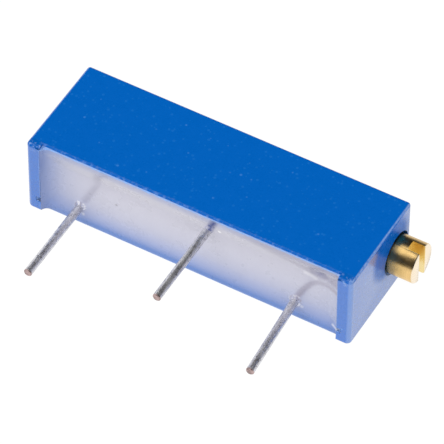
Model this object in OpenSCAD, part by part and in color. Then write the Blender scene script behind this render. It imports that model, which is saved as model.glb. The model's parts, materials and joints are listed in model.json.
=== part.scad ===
// Rectangular multiturn trimmer potentiometer, lying on one large side face.
// X runs along the case towards the screw head, Y from the leads towards the
// back wall, Z through the thickness. The origin is the middle of the side
// face that the part rests on. A lead screw drives a sliding half-nut
// carriage, whose spring wiper rides on two tracks printed on a ceramic plate.
// All sizes are millimetres.

/* [Housing] */
// Length over the two end faces
body_length = 19.05; // [18.5:0.05:24]
// Depth from the standoff ribs to the back face
body_depth = 6.35; // [6.2:0.05:9]
// Thickness between the two large side faces
body_thickness = 4.83; // [4.4:0.01:7]
// Wall at each end, also the width of the standoff ribs
end_wall = 0.8; // [0.6:0.05:1]
// Wall of the two large sides at the open rim
side_wall = 0.45; // [0.35:0.05:0.6]
// Wall behind the screw
back_wall = 0.55; // [0.4:0.05:0.7]
// How far the standoff ribs stand out beyond the rim
standoff = 0.38; // [0.25:0.01:0.6]
// Ledge in each side wall that the ceramic plate seats on
ledge = 0.2; // [0.15:0.05:0.3]
// Radius of the outer edges
edge_radius = 0.18; // [0.05:0.01:0.25]
// Rounding of the rim along its upper large side
rim_radius = 0.12; // [0.05:0.01:0.2]
// Radius of the outer corners of the ribs
rib_radius = 0.28; // [0.15:0.01:0.35]
// Radius of the inner corners of the open side
cavity_radius = 0.2; // [0.1:0.05:0.4]
// Depth of the bevel across one top corner of the rib at the screw end
rib_bevel = 0.4; // [0.2:0.05:0.6]
// Width of the mould mark near the lower end of each rib
mark_width = 0.28; // [0.2:0.01:0.5]
// Length of the mould mark along the rib
mark_length = 0.34; // [0.3:0.01:0.8]
// Depth of the mould mark
mark_depth = 0.1; // [0.05:0.01:0.2]
// Height of the mould mark's middle above the lower side face
mark_height = 0.86; // [0.6:0.01:1.5]

/* [Potting] */
// How far the potting ends inside the rim, at the walls
potting_recess = 0.05; // [0.02:0.01:0.2]
// How much deeper the potting is along its middle
meniscus = 0.1; // [0.04:0.01:0.2]
// How far the potting climbs each lead
collar_height = 0.25; // [0.1:0.01:0.3]
// Thickness of the potting around a lead at the foot of its collar
collar_foot = 0.15; // [0.05:0.01:0.3]
// Thickness of the potting around a lead at the top of its collar
collar_lip = 0.03; // [0.02:0.01:0.1]

/* [Screw] */
// Diameter of the slotted head
head_d = 2.2; // [1.8:0.05:2.4]
// How far the head stands out of the end face
head_out = 1.47; // [1:0.01:2]
// How far the head runs into the case
head_in = 1.55; // [1.5:0.05:1.8]
// Chamfer of the head's rim
head_chamfer = 0.08; // [0.02:0.01:0.15]
// Width of the driver slot
slot_width = 0.62; // [0.4:0.01:0.8]
// Depth of the driver slot
slot_depth = 0.7; // [0.4:0.01:0.8]
// Major diameter of the lead thread
thread_d = 1.5; // [1.2:0.05:1.8]
// Travel of the carriage for one turn
thread_pitch = 0.7; // [0.5:0.05:0.75]
// Turns from one end of the travel to the other
turns = 15; // [8:1:16]
// Diameter of the far journal
journal_d = 0.9; // [0.6:0.05:1.1]
// Length of the far journal
journal_length = 0.65; // [0.4:0.05:0.65]
// Wall of the case between the head's bore and the back face
bore_wall = 0.225; // [0.2:0.005:0.5]
// Offset of the screw's axis from the middle of the thickness
screw_off_middle = -0.055; // [-0.2:0.005:0.2]
// Radial gap between the head and its bore
head_gap = 0.15; // [0.05:0.01:0.2]

/* [Seal and retainer] */
// Thickness of the O-ring
seal_cord = 0.5; // [0.4:0.01:0.55]
// Distance from the end face to the O-ring's groove
seal_from_end = 0.12; // [0.1:0.01:0.6]
// Width of the O-ring's groove
seal_groove = 0.62; // [0.56:0.01:0.7]
// Thickness of the retaining clip
clip_thickness = 0.3; // [0.2:0.01:0.35]
// Width of the retaining clip
clip_width = 2.4; // [2:0.05:2.8]
// Diameter of the screw inside the clip
clip_core_d = 1; // [0.8:0.05:1.1]
// Length of the screw between its shoulder and the clip
clip_land = 0.2; // [0.15:0.01:0.3]
// Thickness of the case between the clip and the carriage's chamber
screw_boss = 0.42; // [0.3:0.01:0.5]

/* [Carriage and wiper] */
// Length of the carriage
carriage_length = 3.2; // [2.8:0.1:3.4]
// Distance from the screw's axis to the underside of the carriage
carriage_below = 1.25; // [1.15:0.01:1.4]
// Chamfer of the carriage's edges
carriage_chamfer = 0.25; // [0.1:0.05:0.4]
// Thickness of the wiper's sheet metal
wiper_sheet = 0.1; // [0.06:0.01:0.12]
// Distance from the carriage's underside to the tracks
wiper_drop = 0.57; // [0.5:0.01:0.7]
// Length of the wiper's fixed plate
wiper_plate = 0.95; // [0.8:0.05:1.1]
// Length of a finger along the case
finger_length = 1; // [0.8:0.05:1.2]
// Width of one finger
finger_width = 0.2; // [0.15:0.01:0.22]
// Distance from one finger to the next
finger_pitch = 0.3; // [0.25:0.01:0.32]
// Fingers on each track
fingers = 3; // [1:2:3]
// Radius of the contact nose
nose_radius = 0.09; // [0.07:0.01:0.12]
// Distance from the carriage's middle to the contact noses
nose_offset = 0.3; // [0.2:0.05:0.5]
// Diameter of the staking posts
post_d = 0.36; // [0.25:0.01:0.4]
// Distance between the staking posts
post_spacing = 1.5; // [1.2:0.1:1.8]
// Thickness of the posts' melted heads under the wiper, and their overhang
stake_head = 0.08; // [0.05:0.01:0.12]

/* [Element] */
// Thickness of the ceramic plate
plate_thickness = 0.635; // [0.5:0.005:0.8]
// Thickness of the printed films
film = 0.03; // [0.02:0.005:0.05]
// Width of each track
track_width = 0.95; // [0.9:0.05:1.1]
// Distance of each track's middle from the middle of the thickness
track_offset = 1.05; // [1:0.05:1.1]
// How far the tracks run past the wiper's travel
track_overrun = 0.35; // [0.2:0.05:0.4]
// Diameter of the plated holes
via_d = 0.4; // [0.3:0.05:0.5]

/* [Leads] */
// Diameter of the exposed leads
lead_d = 0.46; // [0.4:0.01:0.56]
// Thickness of the solder dip, which thins away under the potting
lead_dip = 0.015; // [0.01:0.005:0.03]
// Distance between the two end leads
lead_span = 12.7; // [12:0.05:13]
// Distance from the wiper lead to the end lead nearest the screw head
wiper_lead = 5.08; // [4:0.01:6]
// Distance between the two rows of leads
row_pitch = 2.54; // [2:0.01:2.6]
// Shift of the leads from the middle of the length
lead_shift = -0.235; // [-0.3:0.005:0.3]
// How far the leads reach beyond the standoff ribs
lead_reach = 4.8; // [3:0.1:8]
// Lean of the third lead towards the screw's end, in degrees
lead_3_lean = 3.4; // [0:0.1:5]
// Bend radius of the leads under the potting
bend_radius = 0.8; // [0.5:0.05:0.9]
// Length of the straight foot soldered to the plate
foot_length = 0.9; // [0.6:0.05:1]
// Width of the solder fillets and their lands
land_width = 0.9; // [0.8:0.05:1]
// Chamfer of the leads' cut ends
tip_chamfer = 0.04; // [0.02:0.01:0.08]

/* [Fits] */
// Running gap between the screw and its bearings or the carriage
run_gap = 0.03; // [0.02:0.01:0.05]
// Sliding gap around the carriage
slide_gap = 0.06; // [0.04:0.01:0.1]
// Gap around the ceramic plate
plate_gap = 0.05; // [0.03:0.01:0.1]
// Gap between the wiper's noses and the tracks
contact_gap = 0.02; // [0.01:0.01:0.04]
// Gap between bonded pieces
bond_gap = 0.01; // [0.005:0.005:0.02]

/* [Hidden] */
$fn = 48;
over = 1; // how far a cut runs past the face that it opens

// Planes of the case
end_x = body_length / 2;
back_y = body_depth / 2;
foot_y = -body_depth / 2;
rim_y = foot_y + standoff;
mid_z = body_thickness / 2;

// Screw
bore_r = head_d / 2 + head_gap;
axis_y = back_y - bore_wall - bore_r;
axis_z = mid_z + screw_off_middle;
shoulder_x = end_x - head_in;
shank_r = thread_d / 2;
clip_core_r = clip_core_d / 2;
clip_x = shoulder_x - clip_land - clip_thickness / 2;
clip_groove = clip_thickness + 2 * run_gap;
seal_x = end_x - seal_from_end - seal_groove / 2;
seal_r = bore_r - bond_gap - seal_cord / 2;
seal_floor_r = seal_r - seal_cord / 2 - bond_gap;

// Chamber of the carriage, between the boss of the screw and the far boss
chamber_x1 = clip_x - clip_groove / 2 - screw_boss;
chamber_x0 = -end_x + end_wall + journal_length;
chamber_y = back_y - back_wall;
chamber_w = body_thickness - 2 * (side_wall + ledge);
middle_x = (chamber_x0 + chamber_x1) / 2;
travel = turns * thread_pitch;

// Carriage and wiper
carriage_y = axis_y - carriage_below;
carriage_top = chamber_y - slide_gap;
carriage_w = chamber_w - 2 * slide_gap;
saddle_r = shank_r + run_gap;
nose_x = middle_x + nose_offset;

// Ceramic plate and its prints
track_y = carriage_y - wiper_drop;
plate_y1 = track_y - film;
plate_y0 = plate_y1 - plate_thickness;
land_y = plate_y0 - film;
track_x0 = nose_x - travel / 2 - track_overrun;
track_x1 = nose_x + travel / 2 + track_overrun;
resistor_z = mid_z - track_offset;
collector_z = mid_z + track_offset;

// Leads: place, row, lean and the turn of the foot about Y
core_r = lead_d / 2 - lead_dip;
wire_y = land_y - core_r;
exit_y = rim_y + potting_recess + meniscus;
buried = wire_y - bend_radius - exit_y;
exit_r = lead_d / 2 - lead_dip * collar_height / (collar_height + buried);
exposed = exit_y - foot_y + lead_reach;
lead_3_x = lead_shift + lead_span / 2;
row_0 = mid_z - row_pitch / 2;
row_1 = mid_z + row_pitch / 2;
LEADS = [
    [lead_3_x - lead_span, row_0, 0, -90],
    [lead_3_x - wiper_lead, row_1, 0, 180],
    [lead_3_x, row_0, lead_3_lean, 0]
];
// Plated holes, each inside its land and its print
VIAS = [
    [LEADS[0][0] - via_d / 2, (row_0 + resistor_z) / 2],
    [LEADS[1][0] - bend_radius, (row_1 + collector_z) / 2],
    [LEADS[2][0] + via_d, (row_0 + resistor_z) / 2]
];

// Rectangle about the origin with rounded corners
module rounded_square(w, h, r) {
    square([w - 2 * r, h], center = true);
    square([w, h - 2 * r], center = true);
    for (u = [-1, 1], v = [-1, 1])
        translate([u * (w / 2 - r), v * (h / 2 - r)])
            circle(r);
}

// Lays a drawing of X and Y flat across Y, from y0 to y1, with Y drawn as Z
module along_y(y0, y1) {
    translate([0, y1, 0])
        rotate([90, 0, 0])
            linear_extrude(y1 - y0)
                children();
}

// Stands a drawing of Y and Z up across X, from x0 to x1
module along_x(x0, x1) {
    translate([x0, 0, 0])
        rotate([90, 0, 90])
            linear_extrude(x1 - x0)
                children();
}

// Cylinder on an axis along X
module rod_x(x0, x1, r) {
    translate([x0, axis_y, axis_z])
        rotate([0, 90, 0])
            cylinder(h = x1 - x0, r = r);
}

// Box between two opposite corners
module box(low, high) {
    translate(low)
        cube(high - low);
}

// Outline of the case seen from the side, with its two ribs
module side_outline() {
    difference() {
        union() {
            rounded_square(body_length, body_depth, rib_radius);
            translate([0, rib_radius])
                rounded_square(body_length, body_depth - 2 * rib_radius, edge_radius);
            translate([0, back_y - body_depth / 4])
                rounded_square(body_length, body_depth / 2, edge_radius);
        }
        translate([-end_x + end_wall, foot_y - over])
            square([body_length - 2 * end_wall, standoff + over]);
    }
}

// What rounding takes off a back corner of the case, the one along +X, +Y and +Z
module back_corner_waste() {
    difference() {
        cube(edge_radius + over);
        sphere(edge_radius);
    }
}

// The same for the outer corner of a rib, whose upright edge is rounder
module rib_corner_waste() {
    flat_r = rib_radius - edge_radius;
    difference() {
        cube([rib_radius + over, rib_radius + over, edge_radius + over]);
        rotate_extrude() {
            square([flat_r, edge_radius]);
            translate([flat_r, 0])
                intersection() {
                    circle(edge_radius);
                    square(edge_radius);
                }
        }
    }
}

module case_block() {
    difference() {
        intersection() {
            linear_extrude(body_thickness)
                side_outline();
            translate([0, 0, mid_z])
                along_y(foot_y, back_y)
                    rounded_square(body_length, body_thickness, edge_radius);
            along_x(-end_x, end_x)
                translate([0, mid_z])
                    rounded_square(body_depth, body_thickness, edge_radius);
        }
        for (u = [0, 1], w = [0, 1])
            mirror([u, 0, 0])
                translate([0, 0, mid_z])
                    mirror([0, 0, w])
                        translate([0, 0, body_thickness / 2 - edge_radius]) {
                            translate([end_x - edge_radius, back_y - edge_radius, 0])
                                back_corner_waste();
                            translate([end_x - rib_radius, foot_y + rib_radius, 0])
                                mirror([0, 1, 0])
                                    rib_corner_waste();
                        }
    }
}

// Slice of the case's open side between two depths, clear of its walls by gap
module open_side(gap, y0, y1) {
    translate([0, 0, mid_z])
        along_y(y0, y1)
            rounded_square(
                body_length - 2 * (end_wall + gap),
                body_thickness - 2 * (side_wall + gap),
                cavity_radius
            );
}

module carriage_chamber() {
    box(
        [chamber_x0, plate_y1 - bond_gap, mid_z - chamber_w / 2],
        [chamber_x1, chamber_y, mid_z + chamber_w / 2]
    );
}

module screw_bores() {
    rod_x(shoulder_x - run_gap, end_x + over, bore_r);
    rod_x(chamber_x1 - over, end_x, shank_r + run_gap);
    rod_x(
        chamber_x0 - journal_length, chamber_x0 + over, journal_d / 2 + run_gap
    );
}

// Slot that the clip is pushed into from the open side
module clip_slot() {
    box(
        [
            clip_x - clip_groove / 2,
            plate_y1 - bond_gap,
            axis_z - clip_width / 2 - slide_gap
        ],
        [
            clip_x + clip_groove / 2,
            axis_y + clip_core_r + slide_gap,
            axis_z + clip_width / 2 + slide_gap
        ]
    );
}

// What rounding takes off the rim's edge along the upper large side
module rim_edge_waste() {
    length = body_length - 2 * end_wall;
    translate([-length / 2, rim_y + rim_radius, body_thickness - rim_radius])
        difference() {
            translate([0, -rim_radius - over, 0])
                cube([length, rim_radius + over, rim_radius + over]);
            rotate([0, 90, 0])
                translate([0, 0, -over])
                    cylinder(h = length + 2 * over, r = rim_radius);
        }
}

// Bevel from the rim's corner to the outer corner of the rib at the screw end
module rib_bevel_cut() {
    past = edge_radius; // how far the cut runs past the rib's faces
    translate([end_x - end_wall, foot_y, body_thickness])
        polyhedron(
            points = [
                [-past, -past, past],
                [-past, standoff, past],
                [end_wall, -past, past],
                [-past, -past, -rib_bevel]
            ],
            faces = [[0, 1, 2], [0, 3, 1], [1, 3, 2], [0, 2, 3]]
        );
}

// Shallow mould mark at the inner edge of each rib
module mould_marks() {
    for (side = [-1, 1])
        translate([
            side * (end_x - end_wall + mark_width / 2),
            foot_y,
            mark_height
        ])
            cube([mark_width, 2 * mark_depth, mark_length], center = true);
}

module housing() {
    color("royalblue")
        difference() {
            case_block();
            open_side(0, foot_y - over, plate_y1);
            carriage_chamber();
            screw_bores();
            clip_slot();
            rib_bevel_cut();
            rim_edge_waste();
            mould_marks();
        }
}

// Hollow that the meniscus leaves in the potting, an arc across the thickness
module meniscus_hollow() {
    inner_w = body_thickness - 2 * side_wall;
    arc_r = (inner_w * inner_w / 4 + meniscus * meniscus) / (2 * meniscus);
    translate([-end_x, rim_y + potting_recess + meniscus - arc_r, mid_z])
        rotate([0, 90, 0])
            cylinder(h = body_length, r = arc_r, $fn = 360);
}

module potting_block() {
    difference() {
        open_side(bond_gap, rim_y + potting_recess, land_y);
        meniscus_hollow();
        for (i = [0:2])
            solder_room(i);
    }
}

// Collar of potting that climbs a lead
module collar(i) {
    along_lead(i)
        cylinder(
            h = collar_height,
            r1 = lead_d / 2 + collar_foot,
            r2 = lead_d / 2 + collar_lip
        );
}

module potting() {
    color("gainsboro")
        difference() {
            union() {
                potting_block();
                for (i = [0:2])
                    collar(i);
            }
            for (i = [0:2])
                lead_shape(i, bond_gap);
        }
}

// Half outline of the screw: distance along the axis and radius
module screw_outline() {
    tip_x = end_x + head_out;
    head_r = head_d / 2;
    thread_end = chamber_x0 + run_gap;
    polygon([
        [thread_end - journal_length + 2 * run_gap, 0],
        [thread_end - journal_length + 2 * run_gap, journal_d / 2],
        [thread_end, journal_d / 2],
        [thread_end, shank_r],
        [clip_x - clip_groove / 2, shank_r],
        [clip_x - clip_groove / 2, clip_core_r],
        [clip_x + clip_groove / 2, clip_core_r],
        [clip_x + clip_groove / 2, shank_r],
        [shoulder_x, shank_r],
        [shoulder_x, head_r],
        [seal_x - seal_groove / 2, head_r],
        [seal_x - seal_groove / 2, seal_floor_r],
        [seal_x + seal_groove / 2, seal_floor_r],
        [seal_x + seal_groove / 2, head_r],
        [tip_x - head_chamfer, head_r],
        [tip_x, head_r - head_chamfer],
        [tip_x, 0]
    ]);
}

// Turns an outline of distance and radius about the screw's axis
module turned_on_axis() {
    translate([0, axis_y, axis_z])
        rotate([0, 90, 0])
            rotate_extrude()
                rotate([0, 0, 90])
                    mirror([0, 1, 0])
                        children();
}

module adjustment_screw() {
    color("goldenrod")
        difference() {
            turned_on_axis()
                screw_outline();
            translate([end_x + head_out, axis_y, axis_z])
                cube([2 * slot_depth, slot_width, 2 * head_d], center = true);
        }
}

module shaft_seal() {
    color("dimgray")
        turned_on_axis()
            translate([seal_x, seal_r])
                circle(seal_cord / 2);
}

// U-shaped clip, open towards the back wall
module screw_retainer() {
    inner_r = clip_core_r + run_gap;
    color("silver")
        along_x(clip_x - clip_thickness / 2, clip_x + clip_thickness / 2)
            difference() {
                translate([plate_y1 + bond_gap, axis_z - clip_width / 2])
                    square([axis_y + clip_core_r - plate_y1 - bond_gap, clip_width]);
                translate([axis_y, axis_z])
                    circle(inner_r);
                translate([axis_y, axis_z - inner_r])
                    square([head_d, 2 * inner_r]);
            }
}

// Section of the carriage across the screw: a block with a trough for it
module carriage_section() {
    c = carriage_chamfer;
    z0 = mid_z - carriage_w / 2;
    z1 = mid_z + carriage_w / 2;
    difference() {
        polygon([
            [carriage_y, z0 + c],
            [carriage_y + c, z0],
            [carriage_top - c, z0],
            [carriage_top, z0 + c],
            [carriage_top, z1 - c],
            [carriage_top - c, z1],
            [carriage_y + c, z1],
            [carriage_y, z1 - c]
        ]);
        translate([axis_y, axis_z])
            circle(saddle_r);
        translate([axis_y, axis_z - saddle_r])
            square([back_y, 2 * saddle_r]);
    }
}

// Posts that pass through the wiper's plate, with their melted heads
module staking_posts() {
    post_x = nose_x - finger_length - wiper_plate / 2;
    head_y = carriage_y - wiper_sheet;
    for (side = [-1, 1])
        translate([post_x, 0, mid_z + side * post_spacing / 2]) {
            along_y(head_y - stake_head, carriage_y + wiper_sheet)
                circle(post_d / 2);
            along_y(head_y - stake_head, head_y)
                circle(post_d / 2 + stake_head);
        }
}

module carriage() {
    color("ivory") {
        intersection() {
            along_x(middle_x - carriage_length / 2, middle_x + carriage_length / 2)
                carriage_section();
            translate([middle_x, 0, mid_z])
                along_y(carriage_y, carriage_top)
                    rounded_square(carriage_length, carriage_w, carriage_chamfer);
        }
        staking_posts();
    }
}

// One finger: a sloping leg from the plate down to a round nose
module wiper_finger(z) {
    root_y = carriage_y - wiper_sheet / 2;
    nose_y = track_y + contact_gap + nose_radius;
    slope = atan2(root_y - nose_y, finger_length);
    leg = norm([root_y - nose_y, finger_length]);
    translate([nose_x, nose_y, z - finger_width / 2]) {
        cylinder(h = finger_width, r = nose_radius);
        rotate([0, 0, 180 - slope])
            translate([0, -wiper_sheet / 2, 0])
                cube([leg, wiper_sheet, finger_width]);
    }
}

module wiper() {
    root_x = nose_x - finger_length;
    half_w = track_offset + (fingers - 1) / 2 * finger_pitch + finger_width / 2;
    color("khaki") {
        difference() {
            box(
                [root_x - wiper_plate, carriage_y - wiper_sheet, mid_z - half_w],
                [root_x + wiper_sheet / 2, carriage_y, mid_z + half_w]
            );
            for (side = [-1, 1])
                translate([
                    root_x - wiper_plate / 2,
                    0,
                    mid_z + side * post_spacing / 2
                ])
                    along_y(carriage_y - over, carriage_y + over)
                        circle(post_d / 2 + bond_gap);
        }
        for (row = [resistor_z, collector_z], i = [0:fingers - 1])
            wiper_finger(row + (i - (fingers - 1) / 2) * finger_pitch);
    }
}

module substrate() {
    color("white")
        difference() {
            open_side(plate_gap, plate_y0, plate_y1);
            for (via = VIAS)
                translate([via.x, 0, via.y])
                    along_y(plate_y0 - over, plate_y1 + over)
                        circle(via_d / 2);
        }
}

// Plug of a plated hole, from the film on one face to the film on the other
module via_plug(i) {
    translate([VIAS[i].x, 0, VIAS[i].y])
        along_y(land_y, track_y)
            circle(via_d / 2 - bond_gap);
}

// Land under the foot of a lead
module foot_land(i) {
    along_foot(i)
        translate([-land_width / 2, -land_width / 2, 0])
            cube([bend_radius + foot_length + land_width, land_width, film]);
}

module track_print(x0, x1, z) {
    box([x0, plate_y1, z - track_width / 2], [x1, track_y, z + track_width / 2]);
}

module resistive_track() {
    color("black")
        track_print(track_x0, track_x1, resistor_z);
}

module collector_track() {
    color("lightgray") {
        track_print(track_x0, track_x1, collector_z);
        via_plug(1);
        foot_land(1);
    }
}

module end_pad_1() {
    color("lightgray") {
        track_print(LEADS[0][0] - land_width / 2, track_x0, resistor_z);
        via_plug(0);
        foot_land(0);
    }
}

module end_pad_3() {
    color("lightgray") {
        track_print(track_x1, chamber_x1 - plate_gap, resistor_z);
        via_plug(2);
        foot_land(2);
    }
}

// Frame at the land under a lead: X along the foot, Z into the plate
module along_foot(i) {
    translate([LEADS[i][0], land_y, LEADS[i][1]])
        rotate([0, LEADS[i][3], 0])
            rotate([-90, 0, 0])
                children();
}

// Frame at the exit of a lead: Z along the lead, away from the case
module along_lead(i) {
    translate([LEADS[i][0], exit_y, LEADS[i][1]])
        rotate([90, 0, LEADS[i][2]])
            children();
}

// A lead: the stretch in its collar, the exposed one, the buried one that the
// solder dip thins away on, its bend and its foot
module lead_shape(i, grow = 0) {
    along_lead(i) {
        sphere(exit_r + grow);
        cylinder(h = collar_height, r1 = exit_r + grow, r2 = lead_d / 2 + grow);
        translate([0, 0, collar_height])
            cylinder(
                h = exposed - collar_height - tip_chamfer, r = lead_d / 2 + grow
            );
        translate([0, 0, exposed - tip_chamfer])
            cylinder(
                h = tip_chamfer,
                r1 = lead_d / 2 + grow,
                r2 = lead_d / 2 - tip_chamfer + grow
            );
    }
    along_foot(i)
        translate([0, 0, -core_r - bend_radius]) {
            translate([0, 0, -buried])
                cylinder(h = buried, r1 = exit_r + grow, r2 = core_r + grow);
            translate([bend_radius, 0, 0])
                rotate([90, 0, 0])
                    rotate([0, 0, 90])
                        rotate_extrude(angle = 90)
                            translate([bend_radius, 0])
                                circle(core_r + grow);
            translate([bend_radius, 0, bend_radius])
                rotate([0, 90, 0])
                    cylinder(h = foot_length + grow, r = core_r + grow);
        }
}

module lead(i) {
    color("silver")
        lead_shape(i);
}

// Solder fillet along both sides of a foot and across its end
module solder_joint(i) {
    side = land_width / 2 - core_r;
    color("lightslategray")
        along_foot(i)
            difference() {
                translate([bend_radius, 0, 0])
                    rotate([90, 0, 90])
                        linear_extrude(foot_length + side)
                            difference() {
                                translate([-land_width / 2, -side])
                                    square([land_width, side]);
                                for (u = [-1, 1])
                                    translate([u * land_width / 2, -side])
                                        circle(side);
                            }
                translate([0, 0, -core_r])
                    rotate([0, 90, 0])
                        cylinder(
                            h = bend_radius + foot_length + bond_gap,
                            r = core_r + bond_gap
                        );
            }
}

// Room in the potting for a solder fillet
module solder_room(i) {
    side = land_width / 2 - core_r;
    along_foot(i)
        translate([bend_radius - bond_gap, -land_width / 2 - bond_gap, -side - bond_gap])
            cube([
                foot_length + side + 2 * bond_gap,
                land_width + 2 * bond_gap,
                side + over
            ]);
}

housing();
potting();
adjustment_screw();
shaft_seal();
screw_retainer();
carriage();
wiper();
substrate();
resistive_track();
collector_track();
end_pad_1();
end_pad_3();
lead(0);  // lead_1
lead(1);  // lead_2
lead(2);  // lead_3
solder_joint(0);  // solder_joint_1
solder_joint(1);  // solder_joint_2
solder_joint(2);  // solder_joint_3
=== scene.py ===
"""Rectangular multiturn trimmer potentiometer: its visible pieces, finishes and studio.

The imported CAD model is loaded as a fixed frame. The case, the potting, the lead
screw and the three leads are modelled here in full detail around that frame, and
every other CAD piece gets its finish. All lengths are metres, in the CAD's frame:
X runs along the case towards the screw's head, Y from the leads to the back wall,
Z up through the thickness.
"""

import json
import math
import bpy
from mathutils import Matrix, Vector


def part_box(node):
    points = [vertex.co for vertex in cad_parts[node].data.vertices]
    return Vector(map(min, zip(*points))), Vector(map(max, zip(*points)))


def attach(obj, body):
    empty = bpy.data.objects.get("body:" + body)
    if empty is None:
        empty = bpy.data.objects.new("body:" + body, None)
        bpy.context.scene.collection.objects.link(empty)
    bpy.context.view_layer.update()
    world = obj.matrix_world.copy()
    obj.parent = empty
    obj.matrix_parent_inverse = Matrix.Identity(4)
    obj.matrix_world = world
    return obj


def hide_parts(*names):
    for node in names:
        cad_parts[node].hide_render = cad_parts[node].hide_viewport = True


bl_info = {
    "name": "Trimmer Potentiometer",
    "version": (1, 0, 0),
    "blender": (4, 5, 0),
    "location": "3D View > Sidebar > Trimmer",
    "description": "Builds a multiturn trimmer potentiometer and its studio",
    "category": "Object",
}

import bmesh
import bpy
from bpy.props import FloatProperty, FloatVectorProperty, IntProperty, PointerProperty
from bpy.types import Operator, Panel, PropertyGroup
from mathutils import Matrix, Vector, noise

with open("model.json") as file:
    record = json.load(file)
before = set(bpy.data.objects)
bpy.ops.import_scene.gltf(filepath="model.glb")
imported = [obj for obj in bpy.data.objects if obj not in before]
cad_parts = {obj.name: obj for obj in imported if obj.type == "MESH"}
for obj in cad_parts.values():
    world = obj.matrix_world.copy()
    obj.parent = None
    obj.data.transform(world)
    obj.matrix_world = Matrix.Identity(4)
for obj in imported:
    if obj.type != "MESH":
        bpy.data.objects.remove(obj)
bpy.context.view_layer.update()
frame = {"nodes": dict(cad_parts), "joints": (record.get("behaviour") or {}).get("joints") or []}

MM = 0.001
CASE_LOW, CASE_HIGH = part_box("housing")
SCREW_LOW, SCREW_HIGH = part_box("adjustment_screw")
LEAD_BOXES = [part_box(f"lead_{n}") for n in (1, 2, 3)]
SCREW_TURN = next(j for j in frame["joints"] if j["name"] == "screw_turn")
AXIS_Y, AXIS_Z = SCREW_TURN["pos_m"][1], SCREW_TURN["pos_m"][2]
SOLDER_DIP = 0.015 * MM
SAME_PLACE = 0.001 * MM
LOWER_EXITS = ((-6.585, 1.145), (6.115, 1.145))  # X and Z in millimetres


# ---------------------------------------------------------------- properties


def colour_setting(name, description, default):
    """A colour of the part."""
    return FloatVectorProperty(
        name=name,
        description=description,
        subtype="COLOR",
        size=3,
        min=0,
        max=1,
        default=default,
    )


def length_setting(name, description, millimetres):
    """A length, kept in metres, with its default in millimetres."""
    return FloatProperty(
        name=name, description=description, default=millimetres * MM, unit="LENGTH"
    )


def angle_setting(name, description, degrees):
    """An angle, kept in radians, with its default in degrees."""
    return FloatProperty(
        name=name,
        description=description,
        default=math.radians(degrees),
        unit="ROTATION",
    )


def light_setting(name, description, default):
    """A level of light."""
    return FloatProperty(name=name, description=description, default=default, min=0)


class HousingSettings(PropertyGroup):
    """Sizes and colours of the moulded case"""

    blue: colour_setting("Plastic", "Colour of the moulded case", (0.0, 0.144, 0.61))
    # pale blue of the filler specks and scuffs, and the base of the painted highlights on the
    # case's edges
    pale_blue: colour_setting(
        "Worn plastic",
        "Colour of the plastic where its skin is scuffed",
        (0.03, 0.26, 0.76),
    )
    rim: length_setting(
        "Rim", "Distance from the tips of the standoff ribs to the rim", 0.38
    )
    end_wall: length_setting("End wall", "Thickness of the wall at each end", 0.8)
    side_wall: length_setting(
        "Side wall", "Thickness of the two large side walls at the rim", 0.45
    )
    rib_break: length_setting(
        "Rib edge", "Width that the inner edges of the ribs are broken by", 0.04
    )


class PottingSettings(PropertyGroup):
    """Sizes and colours of the epoxy in the open side"""

    milk: colour_setting(
        "Epoxy", "Colour of the epoxy where it is deep", (0.62, 0.61, 0.705)
    )
    thin: colour_setting(
        "Thin epoxy",
        "Colour of the epoxy where the case shows through it",
        (0.065, 0.19, 0.57),
    )
    skin: colour_setting(
        "Smeared edge",
        "Colour of the thin smeared edge of the epoxy on the upper rim",
        (0.2, 0.43, 0.9),
    )
    # also the colour of the painted shade on the epoxy
    shade: colour_setting(
        "Buried wire",
        "Colour of the epoxy over a wire that runs close below it",
        (0.36, 0.34, 0.44),
    )
    grid: length_setting(
        "Grid", "Spacing of the surface's vertices away from the leads", 0.055
    )
    recess: length_setting(
        "Recess", "How far the epoxy ends inside the rim at the walls", 0.05
    )
    meniscus: length_setting(
        "Meniscus", "How much deeper the epoxy is away from the walls", 0.1
    )
    film: length_setting(
        "Film", "Thickness of the epoxy smeared over the upper rim", 0.012
    )
    collar: length_setting("Collar", "How far the epoxy climbs each lead", 0.26)
    collar_width: length_setting(
        "Collar width",
        "Distance over which a collar falls back to the surface",
        0.085,
    )


class ScrewSettings(PropertyGroup):
    """Sizes and colour of the adjustment screw"""

    brass: colour_setting("Brass", "Colour of the screw", (0.9, 0.61, 0.26))
    head_diameter: length_setting(
        "Head", "Diameter of the slotted head", (SCREW_HIGH.z - SCREW_LOW.z) / MM
    )
    slot_width: length_setting("Slot width", "Width of the driver slot", 0.62)
    slot_depth: length_setting("Slot depth", "Depth of the driver slot", 0.7)
    chamfer: length_setting("Chamfer", "Chamfer of the head's rim", 0.08)
    thread_diameter: length_setting(
        "Thread", "Major diameter of the lead thread", 1.5
    )
    pitch: length_setting("Pitch", "Travel of the carriage for one turn", 0.7)
    thread_depth: length_setting("Thread depth", "Depth of the lead thread", 0.24)
    turned_steps: IntProperty(
        name="Turned steps",
        description="Steps in one turn of a turned surface",
        default=96,
        min=12,
    )


class LeadSettings(PropertyGroup):
    """Sizes and colours of the three leads"""

    tin: colour_setting("Tin", "Colour of the solder dip", (0.74, 0.73, 0.78))
    copper: colour_setting(
        "Copper", "Colour of the bare wire at the cut ends", (0.56, 0.41, 0.4)
    )
    diameter: length_setting(
        "Diameter", "Diameter of the leads over their solder dip", 0.46
    )
    bend: length_setting("Bend", "Radius of the bend under the epoxy", 0.8)
    foot: length_setting(
        "Foot", "Length of the straight foot on the ceramic plate", 0.9
    )
    lean: angle_setting("Lean", "Lean of the third lead towards the screw's end", 3.4)
    unevenness: length_setting(
        "Unevenness", "Depth of the dents in the solder dip", 0.012
    )


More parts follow.
